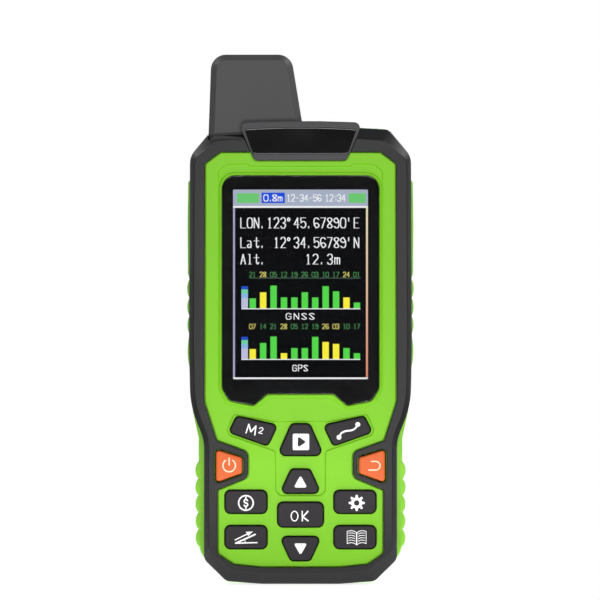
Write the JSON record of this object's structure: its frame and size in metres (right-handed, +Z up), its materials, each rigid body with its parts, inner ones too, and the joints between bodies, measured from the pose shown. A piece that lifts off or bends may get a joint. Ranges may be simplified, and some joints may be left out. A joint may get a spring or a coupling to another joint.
{
  "type": "handheld gps unit",
  "caption": "Rugged handheld satellite positioning unit with a colour display, keypad, stub antenna, soft bumper, ribbed side grips and a ring-screw battery cover.",
  "frame": {"origin": "centre of the bounding box's bottom face, under the flat land that the unit stands on", "axes": "+Z up towards the antenna, the display and keys face -Y, +X to the viewer's right"},
  "size_m": [0.071, 0.0356, 0.1653],
  "materials": {
    "green_shell": "fine moulded grain, light green",
    "green_grip": "soft-touch elastomer, light green",
    "bumper_rubber": "matt dark grey over-mould",
    "seal_rubber": "black silicone",
    "seal_orange": "orange silicone",
    "steel": "satin stainless steel",
    "cap_plastic": "fine grain grey",
    "gloss_black": "polished black",
    "antenna_plastic": "fine grain dark grey",
    "element_former": "ceramic-filled plastic",
    "cable_jacket": "extruded jacket",
    "lens_glass": "clear hard-coated lens, black printed border",
    "lcd_glass": "display cell",
    "sheet_metal": "tin-plated sheet",
    "flex_film": "amber film",
    "silicone": "translucent silicone",
    "dome_metal": "film with snap domes",
    "circuit_board": "solder mask",
    "cover_plastic": "fine grain black",
    "foam": "closed-cell foam",
    "pack_wrap": "shrink wrap",
    "brass": "turned brass",
    "key_orange": "satin orange, printed symbol",
    "key_dark": "satin dark grey, printed symbol"
  },
  "bodies": {
    "case": {"front_shell": "green_shell", "rear_shell": "green_shell", "grip_left": "green_grip", "grip_right": "green_grip", "front_bumper": "bumper_rubber", "case_gasket": "seal_rubber", "case_screws": "steel", "top_cap": "cap_plastic", "cap_window": "gloss_black", "antenna_cover": "antenna_plastic", "antenna_element": "element_former", "antenna_seal": "seal_rubber", "antenna_cable": "cable_jacket", "display_lens": "lens_glass", "lens_gasket": "seal_rubber", "lcd_panel": "lcd_glass", "lcd_frame": "sheet_metal", "lcd_flex": "flex_film", "key_mat": "silicone", "dome_sheet": "dome_metal", "main_board": "circuit_board", "board_screws": "steel", "gnss_module": "sheet_metal", "processor_shield": "sheet_metal", "buzzer": "cap_plastic", "port_board": "circuit_board", "port_screws": "steel", "port_flex": "flex_film", "usb_socket": "sheet_metal", "cover_seal": "seal_orange", "battery_pack": "pack_wrap", "battery_contacts": "brass", "battery_wires": "cable_jacket", "screw_insert": "brass"},
    "battery_door": {"battery_cover": "cover_plastic", "cover_pad": "foam"},
    "ring_screw": {"cover_screw": "steel", "screw_clip": "steel"},
    "ring": {"pull_ring": "steel"},
    "flap": {"usb_flap": "bumper_rubber"},
    "power_button": {"key_power": "key_orange"},
    "back_button": {"key_back": "key_orange"},
    "area_button": {"key_area": "key_dark"},
    "play_button": {"key_play": "key_dark"},
    "route_button": {"key_route": "key_dark"},
    "up_button": {"key_up": "key_dark"},
    "ok_button": {"key_ok": "key_dark"},
    "down_button": {"key_down": "key_dark"},
    "price_button": {"key_price": "key_dark"},
    "slope_button": {"key_slope": "key_dark"},
    "settings_button": {"key_settings": "key_dark"},
    "book_button": {"key_book": "key_dark"}
  },
  "joints": [
    {"name": "door_lift", "type": "slide", "parent": "case", "child": "battery_door", "axis": [0, 1, 0], "range_m": [0, 0.02]},
    {"name": "screw_turn", "type": "hinge", "parent": "battery_door", "child": "ring_screw", "pos_m": [0, 0.0162, 0.0265], "axis": [0, 1, 0], "continuous": true},
    {"name": "ring_fold", "type": "hinge", "parent": "ring_screw", "child": "ring", "pos_m": [0, 0.0162, 0.0265], "axis": [1, 0, 0], "range_deg": [0, 180]},
    {"name": "flap_open", "type": "hinge", "parent": "case", "child": "flap", "pos_m": [0.017, 0.00835, 0.1426], "axis": [-1, 0, 0], "range_deg": [0, 110]},
    {"name": "power_press", "type": "slide", "parent": "case", "child": "power_button", "axis": [0, 1, 0], "range_m": [0, 0.0006], "stiffness_N_per_m": 1500},
    {"name": "back_press", "type": "slide", "parent": "case", "child": "back_button", "axis": [0, 1, 0], "range_m": [0, 0.0006], "stiffness_N_per_m": 1500},
    {"name": "area_press", "type": "slide", "parent": "case", "child": "area_button", "axis": [0, 1, 0], "range_m": [0, 0.0006], "stiffness_N_per_m": 1500},
    {"name": "play_press", "type": "slide", "parent": "case", "child": "play_button", "axis": [0, 1, 0], "range_m": [0, 0.0006], "stiffness_N_per_m": 1500},
    {"name": "route_press", "type": "slide", "parent": "case", "child": "route_button", "axis": [0, 1, 0], "range_m": [0, 0.0006], "stiffness_N_per_m": 1500},
    {"name": "up_press", "type": "slide", "parent": "case", "child": "up_button", "axis": [0, 1, 0], "range_m": [0, 0.0006], "stiffness_N_per_m": 1500},
    {"name": "ok_press", "type": "slide", "parent": "case", "child": "ok_button", "axis": [0, 1, 0], "range_m": [0, 0.0006], "stiffness_N_per_m": 1500},
    {"name": "down_press", "type": "slide", "parent": "case", "child": "down_button", "axis": [0, 1, 0], "range_m": [0, 0.0006], "stiffness_N_per_m": 1500},
    {"name": "price_press", "type": "slide", "parent": "case", "child": "price_button", "axis": [0, 1, 0], "range_m": [0, 0.0006], "stiffness_N_per_m": 1500},
    {"name": "slope_press", "type": "slide", "parent": "case", "child": "slope_button", "axis": [0, 1, 0], "range_m": [0, 0.0006], "stiffness_N_per_m": 1500},
    {"name": "settings_press", "type": "slide", "parent": "case", "child": "settings_button", "axis": [0, 1, 0], "range_m": [0, 0.0006], "stiffness_N_per_m": 1500},
    {"name": "book_press", "type": "slide", "parent": "case", "child": "book_button", "axis": [0, 1, 0], "range_m": [0, 0.0006], "stiffness_N_per_m": 1500}
  ]
}
